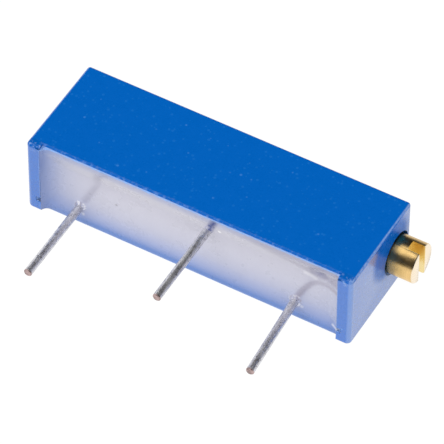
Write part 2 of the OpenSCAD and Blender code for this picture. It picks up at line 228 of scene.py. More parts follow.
class StageSettings(PropertyGroup):
    """Camera, floor and light"""

    azimuth: angle_setting("Azimuth", "Turn of the camera round the part", 29.41)
    elevation: angle_setting(
        "Elevation", "Height of the camera above the horizon, as an angle", 48.67
    )
    roll: angle_setting("Roll", "Turn of the camera about its own axis", 0.49)
    distance: length_setting(
        "Distance", "Distance from the camera to the part", 244.23
    )
    lens: FloatProperty(
        name="Lens",
        description="Focal length in millimetres",
        default=383.1,
        unit="CAMERA",
    )
    aim_right: length_setting(
        "Aim right", "How far right of the origin the camera aims", 0.252
    )
    aim_up: length_setting(
        "Aim up", "How far above the origin the camera aims", 0.661
    )
    panel_light: light_setting("Overhead light", "Radiance of the overhead panel", 1.6)
    room_light: light_setting(
        "Room light", "Level of the soft light from all round", 0.7
    )
    front_light: light_setting(
        "Front light", "Extra level of the soft light from the leads' side", 0.48
    )
    side_light: light_setting(
        "Side light", "Extra level of the soft light from the screw's side", 0.4
    )


class TrimmerSettings(PropertyGroup):
    """All settings of the trimmer potentiometer"""

    housing: PointerProperty(type=HousingSettings, name="Housing")
    potting: PointerProperty(type=PottingSettings, name="Potting")
    screw: PointerProperty(type=ScrewSettings, name="Adjustment screw")
    leads: PointerProperty(type=LeadSettings, name="Leads")
    stage: PointerProperty(type=StageSettings, name="Stage")


# ------------------------------------------------------------ mesh helpers


def clamp(value):
    """A value kept from 0 to 1."""
    return min(max(value, 0.0), 1.0)


def smoothstep(low, high, value):
    """0 below low, 1 above high, and smooth between them."""
    t = clamp((value - low) / (high - low))
    return t * t * (3 - 2 * t)


def decay(distance, reach):
    """1 at no distance or less, falling off over a reach."""
    return math.exp(-max(distance, 0) / reach)


def hump(value, middle, width):
    """1 at a middle value, falling off on both sides over a width."""
    return math.exp(-(((value - middle) / width) ** 2))


def ragged(point, size, seed=0):
    """Smooth noise from -1 to 1 with lumps of about that size."""
    return noise.noise(Vector(point) / size + Vector((seed * 17.3, seed * 5.1, 0)))


def new_object(name, bm):
    """An object in the scene with a bmesh's shape, which is then freed."""
    mesh = bpy.data.meshes.new(name)
    bm.to_mesh(mesh)
    bm.free()
    item = bpy.data.objects.new(name, mesh)
    bpy.context.scene.collection.objects.link(item)
    return item


def make_piece(name, bm, body, material, node, sharp_angle):
    """A finished piece that rides on a CAD body and stands for a CAD node."""
    piece = new_object(name, bm)
    piece.data.materials.append(material)
    piece.data.shade_smooth()
    piece.data.set_sharp_from_angle(angle=math.radians(sharp_angle))
    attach(piece, body)
    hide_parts(node)
    return piece


def cut_away(bm, cutter):
    """Takes one closed bmesh out of another and frees both."""
    whole, tool = new_object("cut_body", bm), new_object("cut_tool", cutter)
    boolean = whole.modifiers.new("cut", "BOOLEAN")
    boolean.operation, boolean.object, boolean.solver = "DIFFERENCE", tool, "EXACT"
    result = bmesh.new()
    result.from_object(whole, bpy.context.evaluated_depsgraph_get())
    for item in (whole, tool):
        mesh = item.data
        bpy.data.objects.remove(item)
        bpy.data.meshes.remove(mesh)
    return result


def box_bmesh(low, high):
    """A closed box between two corners."""
    low, high = Vector(low), Vector(high)
    place = Matrix.Translation((low + high) / 2) @ Matrix.Diagonal((*(high - low), 1))
    bm = bmesh.new()
    bmesh.ops.create_cube(bm, size=1, matrix=place)
    return bm


def break_edges(bm, width, keep):
    """Rounds the sharp edges whose two ends pass a test."""
    edges = [
        e
        for e in bm.edges
        if e.is_manifold
        and e.calc_face_angle(0) > math.radians(50)
        and all(keep(v.co) for v in e.verts)
    ]
    bmesh.ops.bevel(
        bm,
        geom=edges,
        offset=width,
        offset_type="OFFSET",
        segments=2,
        profile=0.5,
        affect="EDGES",
        material=-1,
    )


def only(kind, geometry):
    """The elements of one kind that a bmesh operator returned."""
    return [g for g in geometry if isinstance(g, kind)]


def ends_of(edges):
    """The vertices of some edges, each once and in order."""
    return list(dict.fromkeys(v for e in edges for v in e.verts))


def close_up(bm):
    """Fills the open ends of a mesh."""
    bmesh.ops.holes_fill(bm, edges=[e for e in bm.edges if e.is_boundary], sides=0)


# ---------------------------------------------------------- shader helpers


class Nodes:
    """Adds nodes to one shader tree and links them."""

    def __init__(self, tree):
        self.tree = tree

    def feed(self, socket, value):
        """Links an output to a socket, or sets a plain value on it."""
        if isinstance(value, bpy.types.NodeSocket):
            self.tree.links.new(value, socket)
        else:
            socket.default_value = value

    def add(self, kind, values=None, **settings):
        """A new node, with its settings and its inputs' values or links."""
        node = self.tree.nodes.new("ShaderNode" + kind)
        for key, value in settings.items():
            setattr(node, key, value)
        for key, value in (values or {}).items():
            self.feed(node.inputs[key], value)
        return node

    def maths(self, operation, *values):
        """Output of a Math node on one or two values."""
        return self.add("Math", dict(enumerate(values)), operation=operation).outputs[0]

    def times(self, first, second):
        """Product of two values."""
        return self.maths("MULTIPLY", first, second)

    def largest(self, first, *others):
        """Largest of several values."""
        for value in others:
            first = self.maths("MAXIMUM", first, value)
        return first

    def vector_maths(self, operation, first, second):
        """Outputs of a Vector Math node on two vectors."""
        vectors = {0: first, 1: second}
        return self.add("VectorMath", vectors, operation=operation).outputs

    def split(self, vector):
        """X, Y and Z outputs of a vector."""
        return self.add("SeparateXYZ", {"Vector": vector}).outputs

    def noise(self, vector, scale, **values):
        """Level of a Noise texture."""
        values = {"Vector": vector, "Scale": scale, **values}
        return self.add("TexNoise", values).outputs["Fac"]

    def remap(self, value, low, high, to_low=0.0, to_high=1.0):
        """Output that runs smoothly between two levels as a value does."""
        levels = {"Value": value, 1: low, 2: high, 3: to_low, 4: to_high}
        return self.add("MapRange", levels, interpolation_type="SMOOTHSTEP").outputs[0]

    def tint(self, mask, first, second):
        """Output that goes from the first colour to the second as a mask does."""
        first, second = (
            c if isinstance(c, bpy.types.NodeSocket) else (*c[:3], 1)
            for c in (first, second)
        )
        colours = {0: mask, 6: first, 7: second}
        return self.add("Mix", colours, data_type="RGBA").outputs[2]

    def effect(self, group, place, **values):
        """Outputs of an effect group placed here with its own values."""
        node = self.add("Group", node_tree=group)
        self.feed(node.inputs["Vector"], place)
        for label, value in values.items():
            self.feed(node.inputs[label.replace("_", " ")], value)
        return node.outputs


def effect_group(name, build, outputs, **inputs):
    """A shader node group with a Vector and other named inputs, built only once."""
    group = bpy.data.node_groups.get(name)
    if group:
        return group
    group = bpy.data.node_groups.new(name, "ShaderNodeTree")

    def socket(label, side, kind):
        return group.interface.new_socket(
            label.replace("_", " "), in_out=side, socket_type="NodeSocket" + kind
        )

    socket("Vector", "INPUT", "Vector")
    for label, default in inputs.items():
        kind = "Vector" if isinstance(default, tuple) else "Float"
        socket(label, "INPUT", kind).default_value = default
    for label in outputs:
        socket(label, "OUTPUT", "Float")
    entry = group.nodes.new("NodeGroupInput").outputs
    leave = group.nodes.new("NodeGroupOutput").inputs
    for label, output in build(Nodes(group), entry).items():
        group.links.new(output, leave[label])
    return group


def grain_group():
    """Fine mottling of a moulded, cast or fired surface."""

    def build(nodes, given):
        coarse = nodes.noise(given["Vector"], given["Scale"], Detail=3.0)
        finer = nodes.times(given["Scale"], 5.0)
        fine = nodes.noise(given["Vector"], finer, Detail=2.0)
        share = given["Fine share"]
        rest = nodes.maths("SUBTRACT", 1.0, share)
        height = nodes.maths("ADD", nodes.times(coarse, rest), nodes.times(fine, share))
        return {"Mask": nodes.remap(height, 0.35, 0.65), "Height": height}

    return effect_group(
        "Surface grain", build, ("Mask", "Height"), Scale=1000.0, Fine_share=0.4
    )


def speck_group():
    """Small separate specks of dust, filler or bubbles."""

    def build(nodes, given):
        place = {"Vector": given["Vector"], "Scale": given["Scale"]}
        cells = nodes.add("TexVoronoi", place).outputs
        chance = nodes.add("SeparateColor", {"Color": cells["Color"]}).outputs
        chosen = nodes.maths("LESS_THAN", chance["Red"], given["Share"])
        radius = nodes.times(chance["Green"], given["Size"])
        inside = nodes.maths("SUBTRACT", radius, cells["Distance"])
        return {"Mask": nodes.times(chosen, nodes.remap(inside, 0.0, 0.08))}

    return effect_group(
        "Fine specks", build, ("Mask",), Scale=4000.0, Share=0.1, Size=0.4
    )


def tool_mark_group():
    """Fine parallel marks across one direction, as turning or stamping leaves."""

    def build(nodes, given):
        stretched = nodes.vector_maths(
            "MULTIPLY", given["Vector"], given["Marks per metre"]
        )
        marks = nodes.noise(stretched[0], 1.0, Detail=3.0, Roughness=0.6)
        return {"Mask": nodes.remap(marks, 0.38, 0.62), "Height": marks}

    return effect_group(
        "Tool marks",
        build,
        ("Mask", "Height"),
        Marks_per_metre=(1000.0, 1000.0, 1000.0),
    )


def new_finish(name, roughness, metallic=0.0, **sockets):
    """A material with its nodes, its Principled shader and object coordinates."""
    material = bpy.data.materials.new(name)
    material.use_nodes = True
    nodes = Nodes(material.node_tree)
    shader = material.node_tree.nodes["Principled BSDF"]
    sockets |= {"Roughness": roughness, "Metallic": metallic}
    for label, value in sockets.items():
        nodes.feed(shader.inputs[label.replace("_", " ")], value)
    return material, nodes, shader, nodes.add("TexCoord").outputs["Object"]


def finish_surface(nodes, shader, colour, height, depth, rough):
    """Feeds the shader's colour, its relief and its uneven roughness."""
    bump = nodes.add("Bump", {"Height": height, "Distance": depth, "Strength": 1})
    nodes.feed(shader.inputs["Base Color"], colour)
    nodes.feed(shader.inputs["Normal"], bump.outputs["Normal"])
    nodes.feed(shader.inputs["Roughness"], rough)


def share_of(colour, share):
    """A darker colour."""
    return [c * share for c in colour]


def towards_white(colour, *shares):
    """A paler colour, by one share or by one for each channel."""
    shares = shares if len(shares) == 3 else shares * 3
    return [c + (1 - c) * share for c, share in zip(colour, shares)]


# ----------------------------------------------------------------- finishes


def paint(pieces, name, dark, light, roughness, metallic=0.0, scale=2500.0):
    """Gives CAD pieces a finish with a fine two-tone grain, relief and uneven gloss."""
    material, nodes, shader, place = new_finish(name, roughness, metallic)
    grain = nodes.effect(grain_group(), place, Scale=scale, Fine_share=0.45)
    finish_surface(
        nodes,
        shader,
        nodes.tint(grain["Mask"], dark, light),
        grain["Height"],
        0.004 * MM,
        nodes.remap(grain["Height"], 0.3, 0.7, roughness - 0.06, roughness + 0.08),
    )
    for piece in pieces:
        mesh = frame["nodes"][piece].data
        mesh.materials.clear()
        mesh.materials.append(material)


def housing_finish(s):
    """Blue moulded plastic with filler specks and scuffed corners, painted highlights on its
    edges and painted shade on its lip and upper side.
    """
    material, nodes, shader, place = new_finish(
        "moulded_blue_plastic",
        0.3,
        Coat_Roughness=0.17,
        Coat_IOR=1.85,
        Specular_IOR_Level=0.1,
    )
    axes = nodes.split(place)
    times, tint = nodes.times, nodes.tint

    def past(axis, face, start, end, low=0.0, high=1.0):
        """Runs from low to high between two distances past a face, in millimetres."""
        return nodes.remap(axes[axis], face + start * MM, face + end * MM, low, high)

    grain = nodes.effect(grain_group(), place, Scale=1800.0, Fine_share=0.5)
    fine = nodes.effect(speck_group(), place, Scale=5200.0, Share=0.5, Size=0.46)
    large = nodes.effect(speck_group(), place, Scale=1900.0, Share=0.32, Size=0.2)
    colour = tint(grain["Mask"], share_of(s.blue, 0.95), s.blue)
    colour = tint(times(fine["Mask"], 0.5), colour, s.pale_blue)
    colour = tint(large["Mask"], colour, [c + 0.05 for c in s.pale_blue])
    # the rounded lip of the rim is matt, and its blue is painted darker, a painted shade that
    # matches it to the upper side
    lip = times(
        past("Y", CASE_LOW.y + s.rim, 0.16, 0.11), past("Z", CASE_HIGH.z, -0.17, -0.11)
    )
    colour = tint(lip, colour, share_of(s.blue, 0.8))
    # the upper side is duller and its blue is painted darker, a painted shade; the end face
    # above the screw's head is duller, a painted shade of the head there
    upper = past("Z", CASE_HIGH.z, -0.02, -0.005, 0.0, 0.9)
    above_head = (CASE_HIGH.x, AXIS_Y - 0.7 * MM, AXIS_Z + 1.0 * MM)
    from_head = nodes.vector_maths("DISTANCE", place, above_head)["Value"]
    near_head = nodes.remap(from_head, 1.4 * MM, 2.1 * MM, 0.95, 0.0)
    dull = nodes.largest(times(lip, 0.95), upper, near_head)
    nodes.feed(shader.inputs["Coat Weight"], nodes.maths("SUBTRACT", 1.0, dull))
    # painted shade: the upper side's blue is made darker
    colour = tint(times(upper, 0.6), colour, share_of(s.blue, 0.88))
    # the upper corners of both ribs are scuffed
    scuff = nodes.effect(grain_group(), place, Scale=5200.0, Fine_share=0.3)["Height"]
    corner = times(past("Y", CASE_LOW.y, 0.6, 0.1), past("Z", CASE_HIGH.z, -0.5, -0.1))
    chips = times(times(nodes.remap(scuff, 0.5, 0.62), corner), 0.7)
    # a pale painted highlight along the rounded edge over the screw's end
    edge = times(
        past("X", CASE_HIGH.x, -0.11, -0.07), past("Z", CASE_HIGH.z, -0.11, -0.07)
    )
    edge_highlight = times(edge, nodes.remap(scuff, 0.38, 0.62, 0.4, 0.75))
    # and another along the outer corner of the rib beside it
    side = times(past("X", CASE_HIGH.x, -0.26, -0.12), past("Y", CASE_LOW.y, 0.4, 0.15))
    # the floors of the two mould marks are painted pale, painted light that takes away their
    # shade
    floor = times(past("Y", CASE_LOW.y, 0.01, 0.06), past("Z", CASE_LOW.z, 1.3, 1.1))
    from_middle = nodes.maths("ABSOLUTE", axes["X"])
    inner = nodes.remap(
        from_middle, CASE_HIGH.x - 0.3 * MM, CASE_HIGH.x - 0.45 * MM, 0.0, 0.75
    )
    # the broken inner edges of both ribs are painted paler, a painted sheen
    inner_x = CASE_HIGH.x - s.end_wall
    broken = nodes.remap(
        from_middle, inner_x + 1.5 * s.rib_break, inner_x + s.rib_break, 0.0, 0.2
    )
    # scuffed chips are wear; the other marks here are painted highlights and painted light
    worn = nodes.largest(
        chips,
        edge_highlight,
        times(side, 0.4),
        times(floor, inner),
        times(broken, past("Y", CASE_LOW.y, 0.12, 0.1)),
    )
    finish_surface(
        nodes,
        shader,
        tint(worn, colour, towards_white(s.pale_blue, 0.3)),
        grain["Height"],
        0.003 * MM,
        nodes.remap(grain["Height"], 0.3, 0.7, 0.24, 0.34),
    )
    return material


def potting_finish(s):
    """Milky epoxy that lets the case and the wires show where it is thin, with painted shade and
    painted highlights on it.
    """
    material, nodes, shader, place = new_finish(
        "milky_epoxy", 0.3, Coat_Weight=0.9, Coat_Roughness=0.18
    )
    grain = nodes.effect(grain_group(), place, Scale=700.0, Fine_share=0.3)
    colour = nodes.tint(grain["Mask"], share_of(s.milk, 0.97), s.milk)
    for name, shown in (
        ("case_shows", s.thin),
        ("wire_shows", s.shade),
        ("smeared_edge", s.skin),
        ("deep_shadow", (0.03, 0.06, 0.26)),
        ("pale_spot", (0.95, 0.94, 0.97)),
        ("dark_spot", (0.16, 0.16, 0.2)),
    ):
        layer = nodes.add("Attribute", attribute_name=name)
        colour = nodes.tint(layer.outputs["Fac"], colour, shown)
    finish_surface(
        nodes,
        shader,
        colour,
        grain["Height"],
        0.0012 * MM,
        nodes.remap(grain["Height"], 0.3, 0.7, 0.24, 0.36),
    )
    return material


def brass_finish(s):
    """Turned brass: rings round the axis and a faint stain."""
    material, nodes, shader, place = new_finish("turned_brass", 0.24, 1.0)
    times, tint, remap = nodes.times, nodes.tint, nodes.remap
    centred = nodes.vector_maths("SUBTRACT", place, (0, AXIS_Y, AXIS_Z))[0]
    along, y, z = nodes.split(centred)
    radius = nodes.maths("SQRT", nodes.maths("ADD", times(y, y), times(z, z)))
    rings = nodes.add("CombineXYZ", {"X": along, "Y": radius}).outputs[0]
    marks = nodes.effect(
        tool_mark_group(), rings, Marks_per_metre=(26000.0, 26000.0, 1.0)
    )
    stain = nodes.effect(grain_group(), place, Scale=900.0, Fine_share=0.25)
    dull = [c * d for c, d in zip(s.brass, (0.68, 0.68, 0.6))]
    colour = tint(times(marks["Mask"], 0.35), s.brass, dull)
    colour = tint(times(stain["Mask"], 0.3), colour, dull)
    tip = SCREW_HIGH.x
    aged = remap(along, tip - 0.25 * MM, tip - 0.75 * MM)
    colour = tint(times(aged, 0.7), colour, dull)
    cut = remap(along, tip - 0.09 * MM, tip - 0.03 * MM)
    colour = tint(cut, colour, towards_white(s.brass, 0.6, 0.55, 0.5))
    # the slot is painted paler than the turned sides, painted light that offsets the deeper
    # colour of light bouncing inside it
    half_slot = s.slot_width / 2
    in_slot = times(
        remap(nodes.maths("ABSOLUTE", y), half_slot + 0.02 * MM, half_slot + 0.01 * MM),
        remap(along, tip - s.slot_depth - 0.02 * MM, tip - s.slot_depth),
    )
    finish_surface(
        nodes,
        shader,
        tint(in_slot, colour, towards_white(s.brass, 0.1, 0.3, 0.12)),
        marks["Height"],
        0.0022 * MM,
        remap(stain["Height"], 0.3, 0.7, 0.22, 0.36),
    )
    return material


def tinned_finish(s):
    """Solder-dipped copper wire, streaked, with painted shade in tiny dents and painted glints
    on tiny lumps, bare at the cut end.
    """
    material, nodes, shader, place = new_finish("tinned_copper_wire", 0.36, 0.8)
    times, tint = nodes.times, nodes.tint
    lumps = nodes.effect(grain_group(), place, Scale=3600.0, Fine_share=0.45)
    marks = nodes.effect(
        tool_mark_group(), place, Marks_per_metre=(9000.0, 1400.0, 9000.0)
    )
    pit_shade = nodes.effect(speck_group(), place, Scale=8200.0, Share=0.35, Size=0.55)
    bead_glints = nodes.effect(speck_group(), place, Scale=7000.0, Share=0.22, Size=0.45)
    bright = towards_white(s.tin, 0.75)
    colour = tint(lumps["Mask"], share_of(s.tin, 0.68), s.tin)
    colour = tint(times(marks["Mask"], 0.45), colour, bright)
    # painted shade in tiny dents and painted glints on tiny solder lumps
    colour = tint(times(pit_shade["Mask"], 0.45), colour, share_of(s.tin, 0.16))
    colour = tint(times(bead_glints["Mask"], 0.8), colour, bright)
    bare = nodes.add("Attribute", attribute_name="bare_copper").outputs["Fac"]
    copper = tint(lumps["Mask"], share_of(s.copper, 0.45), s.copper)
    finish_surface(
        nodes,
        shader,
        tint(bare, colour, copper),
        lumps["Height"],
        0.03 * MM,
        nodes.remap(marks["Height"], 0.35, 0.65, 0.24, 0.46),
    )
    return material


# ------------------------------------------------------------------- pieces


def lead_routes():
    """Each lead's exit, lean and foot direction, and the Y of feet and exits."""
    settings = bpy.context.scene.trimmer
    h, p, s = settings.housing, settings.potting, settings.leads
    radius = s.diameter / 2
    foot_y = LEAD_BOXES[0][1].y - radius + SOLDER_DIP
    exit_y = CASE_LOW.y + h.rim + p.recess + p.meniscus
    feet = (Vector((0, 0, 1)), Vector((-1, 0, 0)), Vector((1, 0, 0)))
    routes = []
    for (low, high), foot, lean in zip(LEAD_BOXES, feet, (0, 0, s.lean)):
        x = high.x - radius if foot.x < 0 else low.x + radius
        routes.append((Vector((x, exit_y, low.z + radius)), lean, foot))
    return routes, foot_y, exit_y


def housing_piece():
    """The case: the CAD's shape with broken edges on the inner sides of its ribs."""
    s = bpy.context.scene.trimmer.housing
    bm = bmesh.new()
    bm.from_mesh(frame["nodes"]["housing"].data)
    bmesh.ops.remove_doubles(bm, verts=bm.verts, dist=0.0001 * MM)
    bmesh.ops.dissolve_limit(
        bm, angle_limit=math.radians(0.2), verts=bm.verts, edges=bm.edges
    )
    inner_x = CASE_HIGH.x - s.end_wall
    break_edges(
        bm,
        s.rib_break,
        lambda p: abs(p.y - CASE_LOW.y) < SAME_PLACE
        and abs(abs(p.x) - inner_x) < SAME_PLACE,
    )
    bmesh.ops.recalc_face_normals(bm, faces=bm.faces)
    piece = make_piece(
        "housing_case", bm, "case", housing_finish(s), "housing", 32
    )
    piece.modifiers.new("even_normals", "WEIGHTED_NORMAL").keep_sharp = True


def potting_height(s, x, z, exits):
    """Y of the epoxy's surface at a place on the open side."""
    h = bpy.context.scene.trimmer.housing
    rim_y = CASE_LOW.y + h.rim
    left, right = CASE_LOW.x + h.end_wall, CASE_HIGH.x - h.end_wall
    bottom, top = CASE_LOW.z + h.side_wall, CASE_HIGH.z - h.side_wall
    inward = min(x - left, right - x, z - bottom, top - z)
    y = rim_y - s.film + (s.film + s.meniscus + s.recess) * smoothstep(
        -0.05 * MM, 0.9 * MM, inward
    )
    # it climbs the inner side of the left rib far, of the other a little
    y -= 0.318 * MM * math.exp((left - x) / (0.16 * MM))
    y -= 0.16 * MM * math.exp((x - right) / (0.09 * MM))
    # on the rims it ends in a thin, ragged edge with a bead along it
    fade = CASE_HIGH.z - 0.15 * MM + 0.015 * MM * ragged((x, 0, 0), 0.35 * MM, 9)
    fade += 0.012 * MM * ragged((x, 0, 0), 0.12 * MM, 3)
    bead = 0.012 * MM * (0.6 + 0.6 * ragged((x, 0, 0), 0.2 * MM, 6))
    y -= bead * hump(z, fade - 0.05 * MM, 0.03 * MM)
    ends = smoothstep(fade - 0.02 * MM, fade + 0.025 * MM, z)
    ends = max(ends, 1 - smoothstep(0.0, 0.07 * MM, z))
    y += (rim_y + 0.02 * MM - y) * ends
    # a shallow hollow below the upper wall that deepens towards the screw's end
    trough = smoothstep(1.5 * MM, 8.2 * MM, x) * hump(z, top - 0.3 * MM, 0.3 * MM)
    pocket = math.hypot((x - 7.5 * MM) / 1.6, z - top + 0.45 * MM)
    hollow = (0.06 * trough + 0.08 * hump(pocket, 0, 0.2 * MM)) * MM
    y += hollow * (1 - smoothstep(top - 0.25 * MM, top - 0.05 * MM, z))
    # lazy unevenness of a surface that set by itself
    y += 0.012 * MM * ragged((x, 0, z), 1.7 * MM, 4)
    for n, (exit_x, exit_z) in enumerate(exits):
        away = math.hypot(x - exit_x, z - exit_z) - 0.2 * MM
        turn = math.atan2(z - exit_z, x - exit_x)
        uneven = 1 + 0.3 * math.sin(2 * turn + n * 1.7) * smoothstep(0, 0.1 * MM, away)
        y -= s.collar * decay(away, s.collar_width * uneven)
    return y


def blob(distance, inner, outer):
    """1 up to an inner distance, 0 beyond an outer one."""
    return 1 - smoothstep(inner, outer, distance)


def stroke(point, path, inner, outer):
    """A blob round a line through several points."""
    best = math.inf
    for a, b in zip(path, path[1:]):
        a, b = Vector(a), Vector(b)
        run = b - a
        t = clamp((point - a).dot(run) / run.length_squared)
        best = min(best, (point - a - run * t).length)
    return blob(best, inner, outer)


def potting_marks(x, z):
    """Share of each finish at a place on the epoxy, with all lengths in millimetres."""
    flat = Vector((x, z))

    def away(px, pz):
        return math.hypot(x - px, z - pz)

    from_left, from_right = x + 8.725, 8.725 - x
    low = decay(z - 0.3, 0.68 + 0.025 * max(x + 4, 0))
    left, right = 0.95 * decay(from_left, 0.95), 0.3 * decay(from_right, 0.5)
    high = 0.42 * smoothstep(4.0, 4.65, z)
    edge = 4.61 + 0.03 * ragged((x, 0, 0), 0.5, 8) + 0.02 * ragged((x, 0, 0), 0.14, 5)
    # wires that run close below the surface
    first = stroke(flat, [(-6.6, 1.2), (-5.8, 2.85), (-5.26, 3.92)], 0.06, 0.3)
    arc = [(6.1, 1.3), (6.54, 2.18), (6.95, 2.85), (7.37, 3.2), (7.9, 3.24)]
    third = stroke(flat, [*arc, (8.35, 3.18), (8.75, 3.06)], 0.04, 0.27)
    darker = 1 + 0.35 * decay(away(6.3, 1.6), 0.5) + 0.8 * decay(away(8.5, 3.1), 0.45)
    # round the two leads of the lower row, light and dark spots are painted: painted highlights
    # and painted shade of lumps
    collar = max(blob(away(*at), 0.3, 0.42) for at in LOWER_EXITS)
    lumps = ragged((x, 0, z), 0.11, 7)
    # painted shade in the hollow below the upper wall: a darker band, and the pocket at its end
    reach = 4.22 - 0.13 * max(x - 3.1, 0)
    strip_shade = smoothstep(0.8, 4.8, x) * smoothstep(reach - 0.3, reach + 0.15, z)
    pocket = math.hypot((x - 7.5) / 1.8, z - 3.92)
    # the second lead leaves through a cone that touches the rim, painted as deep shadow
    cone = stroke(flat, [(1.1, 3.8), (1.36, 4.4)], 0.08, 0.3)
    # painted highlights: a pale wedge, a glint beside each lower exit and the bubble's glint;
    # the streak is pale epoxy squeezed along the rib
    wedge_highlight = stroke(flat, [(6.6, 3.54), (6.9, 3.5), (7.2, 3.4)], 0.02, 0.2)
    streak = stroke(flat, [(8.34, 0.63), (8.55, 0.45), (8.7, 0.3)], 0.02, 0.09)
    shine = max(blob(away(*at), 0.02, 0.14) for at in ((6.52, 0.9), (-6.38, 0.72)))
    bubble = blob(away(1.66, 3.85), 0.05, 0.13)
    speck = blob(away(-4.45, 2.38), 0.03, 0.1)
    return {
        "case_shows": 1 - (1 - low) * (1 - left) * (1 - right) * (1 - high),
        "wire_shows": max(
            # buried wires, and painted shade: beside the left rib, on the lumps, in the hollow
            # and its pocket; also darker towards the upper wall
            0.28 * decay(from_left, 1.3),
            0.24 * first,
            0.6 * darker * third,
            0.22 * smoothstep(2.4, 3.9, z),
            0.9 * collar * smoothstep(0.0, 0.3, -lumps),
            0.75 * strip_shade,
            0.8 * hump(pocket, 0, 0.24),
        ),
        "smeared_edge": smoothstep(edge - 0.06, edge + 0.02, z)
        * clamp(0.75 + 0.45 * ragged((x, 0, 0), 0.22, 12)),
        "deep_shadow": max(
            cone * clamp(0.7 + 0.45 * ragged((x, 0, z), 0.1, 2)),
            0.4 * hump(pocket, 0, 0.22),
        ),
        # painted highlights, and the pale streak of squeezed epoxy
        "pale_spot": max(
            0.35 * wedge_highlight,
            bubble,
            0.6 * streak,
            0.4 * shine,
            0.6 * collar * smoothstep(0.05, 0.3, lumps),
        ),
        "dark_spot": 0.75 * speck,
    }


def potting_piece():
    """The epoxy: a meniscus, collars up the leads, a hollow, a bubble shown only as a painted
    glint, and a speck.
    """
    settings = bpy.context.scene.trimmer
    s, h = settings.potting, settings.housing
    left, right = CASE_LOW.x + h.end_wall, CASE_HIGH.x - h.end_wall
    bottom, top = CASE_LOW.z + 0.015 * MM, CASE_HIGH.z - 0.115 * MM
    wall_low, wall_high = CASE_LOW.z + h.side_wall, CASE_HIGH.z - h.side_wall
    back_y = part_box("potting")[1].y
    exits = [(route[0].x, route[0].z) for route in lead_routes()[0]]
    # the sides stand clear of the case, and the front reaches under the ribs' edges
    gap, tuck = 0.005 * MM, 0.012 * MM
    width, height = right - left + 2 * tuck, top - bottom
    bm = bmesh.new()
    bmesh.ops.create_grid(
        bm,
        x_segments=round(width / s.grid),
        y_segments=round(height / s.grid),
        size=0.5,
        matrix=Matrix.Translation(((left + right) / 2, 0, bottom + height / 2))
        @ Matrix.Rotation(math.pi / 2, 4, "X")
        @ Matrix.Diagonal((width, height, 1, 1)),
    )
    for reach in (0.62 * MM, 0.46 * MM):
        close = [
            e
            for e in bm.edges
            if any(
                math.hypot(v.co.x - x, v.co.z - z) < reach
                for x, z in exits
                for v in e.verts
            )
        ]
        bmesh.ops.subdivide_edges(bm, edges=close, cuts=1, use_grid_fill=True)
    surface = list(bm.verts)
    rim = [e for e in bm.edges if e.is_boundary]
    skirt = bmesh.ops.extrude_edge_only(bm, edges=rim)["geom"]
    for v in surface:
        v.co.y = potting_height(s, v.co.x, v.co.z, exits)
    behind = only(bmesh.types.BMVert, skirt)
    for v in behind:
        v.co.y = back_y
        v.co.x = min(max(v.co.x, left + gap), right - gap)
        v.co.z = min(max(v.co.z, wall_low + gap), wall_high - gap)
    bmesh.ops.remove_doubles(bm, verts=behind, dist=SAME_PLACE)
    close_up(bm)
    bmesh.ops.recalc_face_normals(bm, faces=bm.faces)
    layers = {name: bm.verts.layers.float.new(name) for name in potting_marks(0, 0)}
    for v in bm.verts:
        for name, share in potting_marks(v.co.x / MM, v.co.z / MM).items():
            v[layers[name]] = share
    make_piece(
        "epoxy_potting", bm, "case", potting_finish(s), "potting", 60
    )


